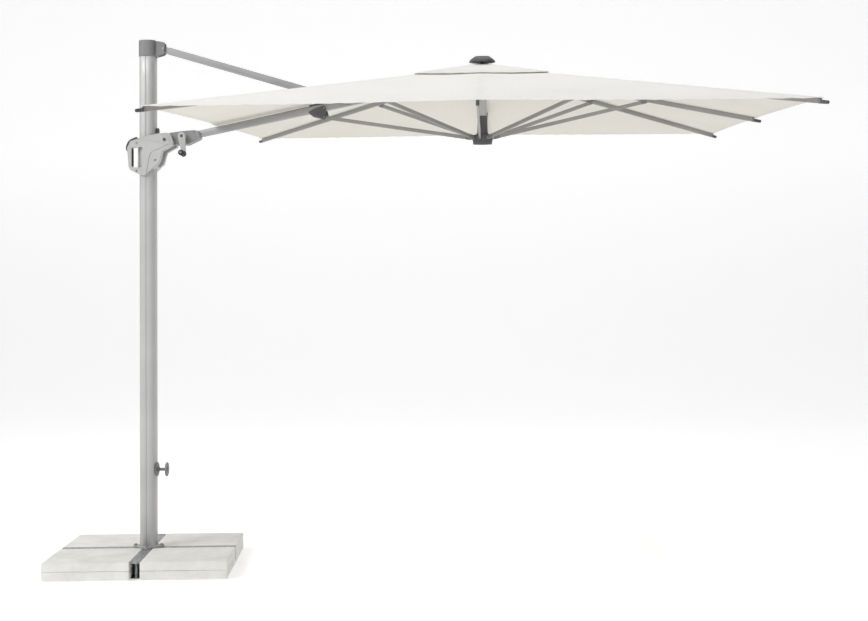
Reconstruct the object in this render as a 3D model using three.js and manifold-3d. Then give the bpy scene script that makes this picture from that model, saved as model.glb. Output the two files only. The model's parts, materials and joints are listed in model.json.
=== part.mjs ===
// Cantilever parasol, open and leaning slightly to the near side.
// Units mm, +Z up, +X from the mast towards the canopy, origin on the ground under the mast axis.
import * as THREE from 'three';
import { mergeVertices } from 'three/addons/utils/BufferGeometryUtils.js';
import Module from 'manifold-3d';

// ---------- driving dimensions ----------
const GAP = 0.4;                    // clearance between neighbouring solids
const BASE_TURN = 6.04;             // base cross turned against the arm, degrees
const SLAB = { side: 448, t: 45.6, z: [3.6, 49.6], gap: 54 };
const BAR = { w: 50, len: 940, top: 95.2, plateW: 180, plateT: 3, plateL: 830, web: 12, flange: 8 };
const MAST = { w: 91, n: 3, bore: 42, z0: 111.8, z1: 2793.6, groove: 4, grooveD: 2.2 };
const SPIGOT = { r: 40.9, top: 600 };
const A = { x: 105, z: 2331 };      // arm pivot on the slider
const B = { x: 88, z: 2836.5 };     // strut pivot in the nose of the mast head
const H = { x: 1773, z: 2662 };     // levelling pivot at the arm's far end
const CX = 1113;                    // strut and arm meet here
const XC = 1843;                    // crown centre line
const LEAN = 5.25;                  // sideways lean of the canopy, degrees
const TRAVEL = 1450;                // slider travel down the mast
const RUN = 1370;                   // runner travel down from the crown
const ARM = { h: 38, w: 27, wall: 2.5 };
const STRUT = { h: 38, w: 22, wall: 2, fork: 175 };
const RIB = { h: 24, w: 14, wall: 1.5, z: 2688, r0: 62, tipCorner: 2398, tipMid: 2408, half: 1500 };
const STAY = { h: 20, w: 12, wall: 1.4, r: 47, z: 2330, off: 14 };
const CLOTH = { t: 1.2, up: 14.7, edge: 1486, ventIn: 262, flapHalf: 350 };

// ---------- helpers ----------
const D = Math.PI / 180;
const wasm = await Module(); wasm.setup();
const V2 = (x, y) => new THREE.Vector2(x, y);
const toMan = (g) => {
  let p = new THREE.BufferGeometry();
  p.setAttribute('position', g.attributes.position.clone());
  if (g.index) p.setIndex(g.index.clone());
  p = mergeVertices(p, 1e-4);
  const idx = [];
  const I = p.index.array, P = p.attributes.position.array;
  for (let i = 0; i < I.length; i += 3) {
    const [a, b, c] = [I[i], I[i + 1], I[i + 2]];
    if (a !== b && b !== c && a !== c) idx.push(a, b, c);
  }
  return new wasm.Manifold(new wasm.Mesh({ numProp: 3, vertProperties: Float32Array.from(P), triVerts: Uint32Array.from(idx) }));
};
const fromMan = (m) => {
  const q = m.getMesh();
  const g = new THREE.BufferGeometry();
  const n = q.vertProperties.length / q.numProp, pos = new Float32Array(n * 3);
  for (let i = 0; i < n; i++) for (let k = 0; k < 3; k++) pos[3 * i + k] = q.vertProperties[i * q.numProp + k];
  g.setAttribute('position', new THREE.BufferAttribute(pos, 3));
  g.setIndex(Array.from(q.triVerts));
  return g;
};
const join = (...gs) => fromMan(gs.map(toMan).reduce((a, b) => a.add(b)));
const cut = (g, ...hs) => fromMan(hs.map(toMan).reduce((a, b) => a.subtract(b), toMan(g)));
const shapeOf = (pts, holes = []) => {
  const s = new THREE.Shape(pts.map(([x, y]) => V2(x, y)));
  for (const h of holes) s.holes.push(new THREE.Path(h.map(([x, y]) => V2(x, y))));
  return s;
};
// rounded rectangle outline, anticlockwise
const rr = (w, h, r, seg = 3, cx = 0, cy = 0) => {
  const o = [];
  const c = [[1, -1, -90], [1, 1, 0], [-1, 1, 90], [-1, -1, 180]];
  for (const [sx, sy, a0] of c) for (let i = 0; i <= seg; i++) {
    const a = (a0 + 90 * i / seg) * D;
    o.push([cx + sx * (w / 2 - r) + r * Math.cos(a), cy + sy * (h / 2 - r) + r * Math.sin(a)]);
  }
  return o;
};
// bulged square outline with half width h; slots of half width g and depth d on its Y faces
const bulged = (h, n, N, g = 0, d = 0) => {
  const o = [], e = (v) => Math.sign(v) * Math.abs(v) ** (2 / n), yg = h * (1 - (g / h) ** n) ** (1 / n);
  for (let i = 0; i < N; i++) {
    const a = 2 * Math.PI * i / N, x = h * e(Math.cos(a)), y = h * e(Math.sin(a));
    if (g && Math.abs(x) < 1e-6) { const s = Math.sign(y); o.push([s * g, s * yg], [s * g, s * (yg - d)], [-s * g, s * (yg - d)], [-s * g, s * yg]); }
    else o.push([x, y]);
  }
  return o;
};
const rect = (w, h) => [[-w / 2, -h / 2], [w / 2, -h / 2], [w / 2, h / 2], [-w / 2, h / 2]];
const circ = (r, n, cx = 0, cy = 0, a0 = 0) => Array.from({ length: n }, (_, i) => [cx + r * Math.cos(a0 + 2 * Math.PI * i / n), cy + r * Math.sin(a0 + 2 * Math.PI * i / n)]);
const bevelOpt = (b) => b ? { bevelEnabled: true, bevelThickness: b, bevelSize: b, bevelOffset: -b, bevelSegments: 1 } : { bevelEnabled: false };
// outline in X and Y, from z0 to z1
const up = (pts, z0, z1, holes = [], b = 0) => {
  const g = new THREE.ExtrudeGeometry(shapeOf(pts, holes), { depth: z1 - z0 - 2 * b, steps: 1, curveSegments: 8, ...bevelOpt(b) });
  return g.translate(0, 0, z0 + b);
};
// outline in X and Z, from y0 to y1
const flat = (pts, y0, y1, holes = [], b = 0) => {
  const g = up(pts, 0, y1 - y0, holes, b);
  return g.rotateX(Math.PI / 2).translate(0, y1, 0);
};
// section in Y and Z, running along X from x0 to x1
const bar = (pts, x0, x1, holes = []) => {
  const g = up(pts, x0, x1, holes);
  return g.applyMatrix4(new THREE.Matrix4().makeBasis(new THREE.Vector3(0, 1, 0), new THREE.Vector3(0, 0, 1), new THREE.Vector3(1, 0, 0)));
};
const box = (x0, x1, y0, y1, z0, z1) => new THREE.BoxGeometry(x1 - x0, y1 - y0, z1 - z0).translate((x0 + x1) / 2, (y0 + y1) / 2, (z0 + z1) / 2);
const rod = (r, n, x, z, y0, y1) => flat(circ(r, n, x, z, Math.PI / n), y0, y1);       // along Y
const lathe = (prof, n) => new THREE.LatheGeometry(prof.map(([r, z]) => V2(r, z)), n).rotateX(Math.PI / 2); // about Z
// local X of a bar turned to point down or up in the X-Z plane
const place = (g, x, z, ang, y = 0) => g.rotateY(-ang).translate(x, y, z);

// ---------- finishes ----------
const mat = (c, rough, metal) => new THREE.MeshStandardMaterial({ color: c, roughness: rough, metalness: metal });
const M = {
  alu: mat(0xd2d2d0, 0.38, 0.85), aluDark: mat(0x969696, 0.42, 0.8), cast: mat(0xc9c9c6, 0.5, 0.5),
  grey: mat(0x8a8b8c, 0.5, 0.4), dark: mat(0x4a4b4d, 0.55, 0.15), black: mat(0x2c2d2f, 0.7, 0.0),
  steel: mat(0x9a9b9c, 0.35, 0.9), galv: mat(0x9d9fa0, 0.55, 0.7), slab: mat(0xcfccc5, 0.95, 0), cloth: mat(0xe9e7e0, 0.9, 0),
};
const root = new THREE.Group(); root.name = 'cantilever_parasol';
const node = (name, g, m, parent = root) => {
  const q = new THREE.BufferGeometry();
  let p = g.index ? g.toNonIndexed() : g;
  q.setAttribute('position', p.attributes.position.clone());
  const w = mergeVertices(q, 1e-4);
  w.computeVertexNormals();
  const mesh = new THREE.Mesh(w, m); mesh.name = name; parent.add(mesh); return mesh;
};
const group = (name, parent = root) => { const g = new THREE.Group(); g.name = name; parent.add(g); return g; };

// ---------- base ----------
const base = group('base_set'); base.rotation.z = BASE_TURN * D;
{
  const L = BAR.len / 2, w = BAR.w / 2, p = BAR.plateW / 2, q = BAR.plateL / 2, t = BAR.web / 2;
  node('base_cross', join(
    up(circ(90, 12), 0, BAR.plateT),
    box(-q, q, -p, p, 0, BAR.plateT), box(-p, p, -q, q, 0, BAR.plateT),
    box(-q, q, -t, t, 0, BAR.top), box(-t, t, -q, q, 0, BAR.top),
    up(circ(26, 16), 0, BAR.top),
    box(-L, L, -w, w, BAR.top - BAR.flange, BAR.top), box(-w, w, -L, L, BAR.top - BAR.flange, BAR.top)), M.galv, base);
  let k = 1;
  const c = SLAB.gap / 2 + SLAB.side / 2;
  for (const [sx, sy] of [[-1, -1], [1, -1], [1, 1], [-1, 1]]) for (const z of SLAB.z) {
    node(`slab_${k++}`, up(rr(SLAB.side, SLAB.side, 5, 1, sx * c, sy * c), z, z + SLAB.t, [], 2.5), M.slab, base);
  }
  const lobes = [];
  for (let i = 0; i < 48; i++) {
    const a = 2 * Math.PI * i / 48, c4 = Math.max(0, Math.cos(4 * a)) ** 1.5;
    lobes.push([(61 + 23 * c4) * Math.cos(a), (61 + 23 * c4) * Math.sin(a)]);
  }
  node('foot_flange', join(up(lobes, BAR.top + GAP, 108, [], 1.5),
    lathe([[0, 100], [54, 100], [54, 109.6], [52.5, 111.4], [SPIGOT.r, 111.4], [SPIGOT.r, SPIGOT.top - 4], [SPIGOT.r - 4, SPIGOT.top], [0, SPIGOT.top]], 32)), M.cast, base);
  for (let i = 0; i < 4; i++) {
    const a = i * 90 * D, x = 71 * Math.cos(a), y = 71 * Math.sin(a);
    node(`foot_bolt_${i + 1}`, join(up(circ(10, 16, x, y), 108 + GAP, 110.4), up(circ(7.5, 6, x, y), 109, 116, [], 0.8)), M.steel, base);
  }
}

// ---------- mast ----------
const mast = group('mast_set');
{
  node('mast_tube', up(bulged(MAST.w / 2, MAST.n, 48, MAST.groove / 2, MAST.grooveD), MAST.z0, MAST.z1, [circ(MAST.bore, 32).reverse()]), M.alu, mast);
  const nose = [[30, 2797], [55, 2797], [84, 2805], [93.5, 2812], [97, 2822], [97, 2866], [94.5, 2871.5], [90, 2874], [45, 2881], [30, 2881]];
  node('mast_head', cut(join(up(bulged(48.5, 3.2, 40), 2794, 2883.5, [], 3), flat(nose, -25, 25, [], 2)),
    box(60, 130, -12, 12, 2770, 2862), rod(6.4, 16, B.x, B.z, -46, 46)), M.grey, mast);
  node('head_pin', join(rod(5.6, 16, B.x, B.z, -26, 26), rod(8, 6, B.x, B.z, -29.5, -25.4), rod(8, 6, B.x, B.z, 25.4, 29.5)), M.steel, mast);
  node('mast_stop', up(rr(14, 30, 4, 2, 53, 0), 2374, 2401, [], 1.5), M.dark, mast);
  node('knob_plate', bar(circ(39, 32, 0, 523), MAST.w / 2 + GAP, 51), M.cast, mast);
}
{
  const lob = [];
  for (let i = 0; i < 48; i++) { const a = 2 * Math.PI * i / 48; const r = 37.6 + 1.4 * Math.cos(8 * a); lob.push([r * Math.cos(a), 523 + r * Math.sin(a)]); }
  node('lock_knob', join(bar(circ(8, 20, 0, 523), 51 + GAP, 100), bar(circ(12, 20, 0, 523), 51 + GAP, 60), bar(circ(13, 20, 0, 523), 92, 99), bar(lob, 98, 104.5), bar(circ(13, 20, 0, 523), 104, 107)), M.grey, mast);
}

// ---------- slider with its hand loop ----------
const slider = group('slider_set');
const shellSide = [[-30, 2346], [-44, 2337], [-84, 2324], [-101, 2290], [-101, 2271], [-94, 2182], [-86, 2168], [-74, 2160], [-26, 2137], [-2, 2136], [50, 2182], [76, 2206], [95, 2269], [149, 2299], [153, 2310], [151, 2320], [137, 2359], [118, 2369], [67, 2364], [-3, 2350]];
const hole = [[-77, 2186], [-71, 2180], [-22, 2180], [-16.5, 2186], [-16.5, 2285], [-22, 2291], [-71, 2291], [-77, 2285]];
const leverCut = [[-44.5, 2360], [-44.5, 2328], [-78, 2313], [-90, 2290], [-87, 2255], [-120, 2255], [-125, 2360]];
const panel = [[149, 2299], [150, 2313], [40, 2268], [24, 2252], [2, 2141], [50, 2182], [76, 2206], [95, 2269]];
for (const s of [-1, 1]) {
  const y0 = s < 0 ? -62 : GAP / 2, y1 = s < 0 ? -GAP / 2 : 62;
  const tools = [
    up(bulged(MAST.w / 2 + 0.8, MAST.n, 48), 2100, 2400),
    box(54, 170, -31.5, 31.5, 2100, 2400),
    rod(5.3, 20, A.x, A.z, -70, 70),
    s < 0 ? flat(panel, -70, -59.5) : flat(panel, 59.5, 70),
  ];
  // the hand loop is a slim frame carried by the near shell only
  if (s < 0) tools.push(flat(leverCut, -59.5, -30.5), flat(hole, -70, -28), box(-130, -51, -28, 5, 2100, 2400));
  else tools.push(box(-130, -51, -1, 70, 2100, 2400));
  const g = cut(flat(shellSide, y0, y1), ...tools);
  const boss = cut(rod(28, 28, A.x, A.z, s < 0 ? -63.5 : 60, s < 0 ? -60 : 63.5), rod(5.3, 20, A.x, A.z, -70, 70));
  node(s < 0 ? 'slider_shell_near' : 'slider_shell_far', join(g, boss), M.cast, slider);
}
node('slider_grip', up(rr(3, 32, 1, 2, -75.1, -45), 2187, 2284, [], 0.8), M.black, slider);
node('slider_pin', join(rod(4.8, 20, A.x, A.z, -65, 65), rod(9.2, 24, A.x, A.z, -68.5, -64), rod(9.2, 24, A.x, A.z, 64, 68.5)), M.dark, slider);
{
  const out = [[-50.5, 2347], [-60, 2345.5], [-86, 2334], [-99, 2322], [-108, 2302], [-111, 2288], [-108, 2274], [-103, 2268], [-98, 2270], [-101, 2284], [-98, 2302], [-88, 2318], [-76, 2327], [-60, 2333], [-50.5, 2336]];
  node('release_lever', cut(flat(out, -58.5, -31.5, [], 1.2), rod(2.6, 12, -55.5, 2340, -62, -20)), M.black, slider);
}

// ---------- arm, crank and strut ----------
const armAng = Math.atan2(H.z - A.z, H.x - A.x);
const armLen = Math.hypot(H.z - A.z, H.x - A.x);
const arm = group('arm_set');
{
  const body = [[83, 2331], [87, 2345], [97, 2362], [129, 2373], [199, 2382], [262, 2386], [283, 2382], [291, 2372], [295, 2343], [288, 2336], [224, 2306], [189, 2309], [154, 2303], [118, 2312], [96, 2312.5], [87, 2319]];
  node('crank_housing', cut(flat(body, -30, 30, [], 4), rod(5.3, 20, A.x, A.z, -40, 40), rod(8.6, 20, 203, 2348, -40, 0),
    place(bar(rr(ARM.w + 0.8, ARM.h + 0.8, 4.4, 2), 150, 260), A.x, A.z, armAng)), M.cast, arm);
  const inner = rr(ARM.w - 2 * ARM.wall, ARM.h - 2 * ARM.wall, 1.5, 1);
  const tube = bar(rr(ARM.w, ARM.h, 4, 2), 151, armLen - 28, [inner.slice().reverse()]);
  node('arm_tube', place(tube, A.x, A.z, armAng), M.aluDark, arm);
  // the eye plugs into the tube's open end with a gap all round
  const plug = cut(join(bar(rr(ARM.w - 2 * ARM.wall - 0.8, ARM.h - 2 * ARM.wall - 0.8, 1.2, 1), armLen - 72, armLen - 20), bar(rr(ARM.w, ARM.h, 4, 2), armLen - 27.5, armLen - 20), bar(rr(26.4, 27, 2, 1), armLen - 22, armLen - 2), rod(15.5, 24, armLen, 0, -13.2, 13.2)),
    rod(5.4, 16, armLen, 0, -20, 20));
  node('arm_end', place(plug, A.x, A.z, armAng), M.grey, arm);
  // keeper on the arm's near side, where the left stay lies when open
  const leaf = [[893, 2477], [905, 2461], [940, 2447.5], [958, 2443], [972, 2437.5], [985, 2441], [989, 2446], [989, 2499], [985, 2507], [972.4, 2511.5], [930, 2498]];
  node('arm_keeper', join(flat(leaf, -26, -19, [], 1.5), place(box(808, 842, -20.5, -ARM.w / 2 - GAP, -17, -4), A.x, A.z, armAng), rod(4, 12, 979, 2449, -28, -24), rod(4, 12, 979, 2500, -28, -24)), M.dark, arm);
}
{
  const cx = 203, cz = 2348;
  const link = [];
  for (let i = 0; i <= 10; i++) { const a = (-6 + 192 * i / 10) * D; link.push([cx + 21 * Math.cos(a), cz + 21 * Math.sin(a)]); }
  for (let i = 0; i <= 8; i++) { const a = (186 + 168 * i / 8) * D; link.push([cx + 13 + 11 * Math.cos(a), cz - 100 + 11 * Math.sin(a)]); }
  node('crank_arm', join(rod(8, 16, cx, cz, -66, -6), rod(18, 24, cx, cz, -44, -30 - GAP), rod(14, 20, cx, cz, -74, -42), flat(link, -78, -70, [], 1.5), rod(4, 12, cx + 13, cz - 100, -152, -74)), M.grey, arm);
  const prof = [[4.6, -81], [15, -81], [16.5, -84], [14, -100], [13, -116], [16, -138], [15, -147], [11, -150.5], [4.6, -150.5]];
  const g = new THREE.LatheGeometry(prof.concat([prof[0]]).reverse().map(([r, y]) => V2(r, y)), 18);
  node('crank_grip', g.translate(cx + 13, 0, cz - 100), M.black, arm);
}
const stAng = Math.atan2(A.z + (CX - A.x) * Math.tan(armAng) - B.z, CX - B.x);
const stLen = Math.hypot(A.z + (CX - A.x) * Math.tan(armAng) - B.z, CX - B.x);
const link = group('strut_set');
{
  const inner = rr(STRUT.w - 2 * STRUT.wall, STRUT.h - 2 * STRUT.wall, 1, 1);
  const tube = bar(rr(STRUT.w, STRUT.h, 4, 2), 30, stLen - STRUT.fork, [inner.slice().reverse()]);
  const root1 = cut(join(bar(rr(18, 34, 2, 1), 8, 62), rod(16.5, 24, 0, 0, -11, 11), bar(rr(22, 30, 3, 1), 4, 36)), rod(6.4, 16, 0, 0, -20, 20));
  const cheek = (s) => cut(flat([[stLen - STRUT.fork - 6, -17], [stLen - 20, -17], [stLen + 6, -15], [stLen + 15, -6], [stLen + 15, 6], [stLen + 6, 15], [stLen - 20, 17], [stLen - STRUT.fork - 6, 17]], s > 0 ? 14.6 : -18.2, s > 0 ? 18.2 : -14.6), rod(5, 16, stLen, 0, -30, 30));
  const blk = join(bar(rr(17.2, 33.2, 1, 1), stLen - STRUT.fork - 45, stLen - STRUT.fork + 4), flat([[stLen - STRUT.fork - 8, -17], [stLen - STRUT.fork + 8, -17], [stLen - STRUT.fork + 8, 17], [stLen - STRUT.fork - 8, 17]], -18.2, 18.2));
  node('top_strut', place(join(tube, root1), B.x, B.z, stAng), M.aluDark, link);
  const fork = join(cut(blk, box(stLen - STRUT.fork - 50, stLen - STRUT.fork - 7.9, 8.6, 30, -30, 30), box(stLen - STRUT.fork - 50, stLen - STRUT.fork - 7.9, -30, -8.6, -30, 30)), cheek(1), cheek(-1));
  const forkClear = cut(fork, bar(rr(40, 60, 1, 1), stLen - STRUT.fork - 60, stLen - STRUT.fork + 0.4));
  node('strut_fork', place(join(forkClear, bar(rr(17.2, 33.2, 1, 1), stLen - STRUT.fork - 45, stLen - STRUT.fork + 4)), B.x, B.z, stAng), M.grey, link);
}

// ---------- levelling yoke ----------
const yoke = group('yoke_set');
{
  const lug = [[-16, 0], [-11, -12], [0, -17], [16.6, -17], [16.6, 19], [0, 17], [-11, 12]].map(([x, z]) => [H.x + x, H.z + z]);
  const back = box(XC - 53.6, XC - 50.4, -21, 21, H.z - 17, H.z + 19);
  node('head_yoke', join(cut(join(flat(lug, 14.4, 21), flat(lug, -21, -14.4)), rod(5.4, 16, H.x, H.z, -30, 30)), back), M.cast, yoke);
  node('yoke_pin', join(rod(4.8, 16, H.x, H.z, -22, 22), rod(8, 6, H.x, H.z, -25.5, -21.4), rod(8, 6, H.x, H.z, 21.4, 25.5)), M.steel, yoke);
}

// ---------- crown and canopy, all leaning about the arm-end line ----------
const lean = group('lean_set'); lean.position.set(0, 0, H.z); lean.rotation.x = LEAN * D;
const crown = group('crown_set', lean); crown.position.set(XC, 0, -H.z);
const dirs = [0, 45, 90, 135, 180, 225, 270, 315];
const isMid = (a) => a % 90 === 0;
const LEFT = 180, LEFTPIV = { x: 92, y: 45, z: 2682 };
{
  const parts = [up(circ(46, 32), 2655, 2704), up(circ(78, 40), 2703, 2710), box(-50, -26, -20, 20, 2640, 2690),
    up([[-107, 29], [-40, 20], [-40, 66], [-107, 61]], 2703, 2710),
    box(-104, -80, 33.4, 37.4, 2670, 2704), box(-104, -80, 52.6, 56.6, 2670, 2704),
    rod(3.2, 8, -LEFTPIV.x, LEFTPIV.z, 36, 54)];
  for (const a of dirs) if (a !== LEFT) for (const g of [box(43, 74, 7.5, 11.5, 2676, 2704), box(43, 74, -11.5, -7.5, 2676, 2704), rod(3.2, 6, RIB.r0, RIB.z, -9, 9)]) parts.push(g.rotateZ(a * D));
  node('crown_hub', join(...parts), M.cast, crown);
  node('centre_pole', up(circ(22.5, 28), 2303, 2654.6, [circ(20, 28).reverse()]), M.alu, crown);
  node('vent_cap', lathe([[0, 2710.4], [12, 2710.4], [12, 2738], [66, 2738], [70.5, 2741], [70.5, 2745], [58, 2759], [46, 2768], [40, 2771], [0, 2772]], 32), M.dark, crown);
  // square fabric skin: pitch set by the distance out to the nearer pair of sides
  const k = (RIB.z - RIB.tipMid) / (RIB.half - RIB.r0);
  const zc = (m) => RIB.z + CLOTH.up - k * (m - RIB.r0);
  const skin = (inner, outer, zf, bow, steps) => {
    const n = 32, ring = [];
    for (let j = 0; j <= steps; j++) {
      const m = inner + (outer - inner) * j / steps;
      const r = [];
      for (let i = 0; i < n; i++) {
        const a = 2 * Math.PI * i / n, s = 1 / Math.max(Math.abs(Math.cos(a)), Math.abs(Math.sin(a)));
        const q = Math.abs(Math.sin(4 * a));            // 0 on a rib, 1 midway
        const f = 1 - bow * q * (j / steps);
        const drop = Math.min(Math.abs(Math.cos(a)), Math.abs(Math.sin(a))) / Math.max(Math.abs(Math.cos(a)), Math.abs(Math.sin(a)));
        r.push([m * s * Math.cos(a) * f, m * s * Math.sin(a) * f, zf(m) - (outer > 1000 ? 10 * drop * m / outer : 0)]);
      }
      ring.push(r);
    }
    return ring;
  };
  const shellFrom = (ring, t, holeBox) => {
    const pos = [], idx = [], n = ring[0].length, R = ring.length;
    for (const dz of [t, 0]) for (const r of ring) for (const [x, y, z] of r) pos.push(x, y, z + dz);
    const id = (layer, j, i) => layer * R * n + j * n + (i % n);
    for (let j = 0; j < R - 1; j++) for (let i = 0; i < n; i++) {
      idx.push(id(0, j, i), id(0, j + 1, i), id(0, j + 1, i + 1), id(0, j, i), id(0, j + 1, i + 1), id(0, j, i + 1));
      idx.push(id(1, j, i), id(1, j + 1, i + 1), id(1, j + 1, i), id(1, j, i), id(1, j, i + 1), id(1, j + 1, i + 1));
    }
    for (let i = 0; i < n; i++) {
      idx.push(id(0, R - 1, i), id(1, R - 1, i), id(1, R - 1, i + 1), id(0, R - 1, i), id(1, R - 1, i + 1), id(0, R - 1, i + 1));
      idx.push(id(0, 0, i), id(1, 0, i + 1), id(1, 0, i), id(0, 0, i), id(0, 0, i + 1), id(1, 0, i + 1));
    }
    const g = new THREE.BufferGeometry();
    g.setAttribute('position', new THREE.BufferAttribute(new Float32Array(pos), 3)); g.setIndex(idx);
    return g;
  };
  const main = shellFrom(skin(CLOTH.ventIn, CLOTH.edge, zc, 0.012, 5), CLOTH.t);
  node('canopy', cut(main, box(900 - XC, 1130 - XC, -34, 34, 2450, 2700)), M.cloth, crown);
  node('vent_flap', shellFrom(skin(22, CLOTH.flapHalf, (m) => 2735.5 - 0.232 * m, 0.01, 2), CLOTH.t), M.cloth, crown);
}

// ---------- runner ----------
const runner = group('runner_set', crown);
const stayOff = (a) => a === LEFT ? 26.5 : STAY.off;
{
  const body = lathe([[23.3, 2296], [51, 2296], [58, 2340], [58, 2346], [34, 2352], [28.5, 2362], [26, 2451], [23.3, 2451], [23.3, 2296]], 24);
  const cuts = dirs.map((a) => box(36, 90, -stayOff(a) - 6.6, -stayOff(a) + 6.6, 2318, 2360).rotateZ(a * D));
  const pins = dirs.map((a) => rod(2.6, 6, STAY.r, STAY.z, -stayOff(a) - 8, -stayOff(a) + 8).rotateZ(a * D));
  node('runner_hub', join(cut(body, ...cuts), ...pins), M.dark, runner);
}

// ---------- ribs and stays ----------
const PLAN = { ribs: [], stays: [] };
{
  const ribShape = (L, first) => {
    const outer = rr(RIB.w, RIB.h, 2, 1), inner = rect(RIB.w - 2 * RIB.wall, RIB.h - 2 * RIB.wall);
    const tube = bar(outer, 14, L - 38, [inner.slice().reverse()]);
    const eye = join(rod(11.5, 14, 0, 0, -RIB.w / 2, RIB.w / 2), bar(rect(RIB.w, 22), 2, 14), bar(rect(RIB.w - 2 * RIB.wall, RIB.h - 2 * RIB.wall), 12, 22));
    const tip = join(bar(rr(RIB.w, RIB.h, 2, 1), L - 40, L - 34), bar(rr(13, 14, 4, 2, 0, -3), L - 36, L));
    return cut(join(tube, eye, tip), rod(3.9, 8, 0, 0, -20, 20), box(L - 90, L - 80, -2.5, 2.5, -16, 0)); // drain slot near the tip
  };
  const names = { 0: 'mid_right', 45: 'far_right', 90: 'mid_far', 135: 'far_left', 180: 'mid_left', 225: 'near_left', 270: 'mid_near', 315: 'near_right' };
  dirs.forEach((a, i) => {
    const mid = isMid(a), left = a === LEFT;
    const rp = left ? LEFTPIV.x : RIB.r0, zp = left ? LEFTPIV.z : RIB.z;
    const rt = mid ? RIB.half : RIB.half * Math.SQRT2;
    const zt = left ? 2394 : mid ? RIB.tipMid : RIB.tipCorner;
    const ang = Math.atan2(zt - zp, rt - rp), L = Math.hypot(zt - zp, rt - rp);
    const ty = left ? -LEFTPIV.y : 0;               // tangential offset
    const g = place(ribShape(L), rp, zp, ang, ty);
    const m = node(`rib_${i + 1}`, g.rotateZ(a * D), M.aluDark, crown);
    // stay
    let ra, za;
    if (left) { ra = 914; za = 2461; } else if (mid) { ra = 905; za = RIB.z + Math.tan(ang) * (ra - rp) - 2; } else { ra = 903; za = RIB.z + Math.tan(ang) * (ra - rp) - 2; }
    const sAng = Math.atan2(za - STAY.z, ra - STAY.r), sL = Math.hypot(za - STAY.z, ra - STAY.r);
    const so = -stayOff(a);
    const outer = rr(STAY.w, STAY.h, 2, 1), inner = rect(STAY.w - 2 * STAY.wall, STAY.h - 2 * STAY.wall);
    const st = cut(join(bar(outer, 14, sL - 16, [inner.slice().reverse()]), rod(9, 12, 0, 0, -STAY.w / 2, STAY.w / 2), bar(rect(STAY.w, 17), 1, 14), bar(rect(STAY.w - 2 * STAY.wall, STAY.h - 2 * STAY.wall), 12, 20),
      rod(9, 12, sL, 0, -STAY.w / 2, STAY.w / 2), bar(rect(STAY.w, 17), sL - 16, sL - 1), bar(rect(STAY.w - 2 * STAY.wall, STAY.h - 2 * STAY.wall), sL - 22, sL - 14)), rod(3.3, 8, 0, 0, -20, 20), box(60, 68, -2, 2, -14, 0));
    node(`stay_${i + 1}`, place(st, STAY.r, STAY.z, sAng, so).rotateZ(a * D), M.aluDark, crown);
    // closing angles
    const d = Math.hypot(ra - rp, za - zp), th0 = Math.atan2(zp - za, ra - rp);
    const zr = STAY.z - RUN;
    let lo = th0, hi = 100 * D;
    for (let n = 0; n < 60; n++) {
      const th = (lo + hi) / 2, x = rp + d * Math.cos(th), z = zp - d * Math.sin(th);
      if (Math.hypot(x - STAY.r, z - zr) > sL) lo = th; else hi = th;
    }
    const x1 = rp + d * Math.cos(lo), z1 = zp - d * Math.sin(lo);
    PLAN.ribs.push({ node: `rib_${i + 1}`, a, r: rp, t: ty, z: zp, turn: lo - th0, end: (-ang + lo - th0) / D });
    PLAN.stays.push({ node: `stay_${i + 1}`, a, r: STAY.r, t: so, z: STAY.z, turn: Math.atan2(z1 - zr, x1 - STAY.r) - sAng, ra, za, sL });
  });
  // hanging bracket that takes the left stay past the arm
  const b = [[-890, 2536], [-956, 2524], [-956, 2512], [-949, 2478], [-941, 2464], [-928, 2456], [-872, 2441.5], [-856, 2444], [-848, 2455], [-850, 2470], [-858, 2500], [-862, 2534]];
  node('rib_bracket', cut(flat(b, 33.0, 37.6, [], 0), rod(3.3, 10, -914, 2461, 20, 60)), M.dark, crown);
}

// ---------- closing motion: exact at both ends ----------
{
  const C = { x: CX, z: A.z + (CX - A.x) * Math.tan(armAng) };
  const a = Math.hypot(C.x - A.x, C.z - A.z), b = Math.hypot(C.x - B.x, C.z - B.z);
  const A1 = { x: A.x, z: A.z - TRAVEL }, dx = B.x - A1.x, dz = B.z - A1.z, d = Math.hypot(dx, dz);
  const t = (a * a - b * b + d * d) / (2 * d), h = Math.sqrt(a * a - t * t);
  const C1 = { x: A1.x + dx / d * t + dz / d * h, z: A1.z + dz / d * t - dx / d * h };
  PLAN.arm = Math.atan2(C1.z - A1.z, C1.x - A1.x) - armAng;
  PLAN.strut = Math.atan2(C1.z - B.z, C1.x - B.x) - stAng;
  Object.assign(PLAN, { A, B, H, C, XC, LEAN, TRAVEL, RUN, armAng, stAng, stLen, armLen, BASE_TURN });
}
root.userData.plan = PLAN;
export default root;
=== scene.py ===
import bpy, bmesh, math, json
from mathutils import Vector, Matrix, noise


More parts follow.
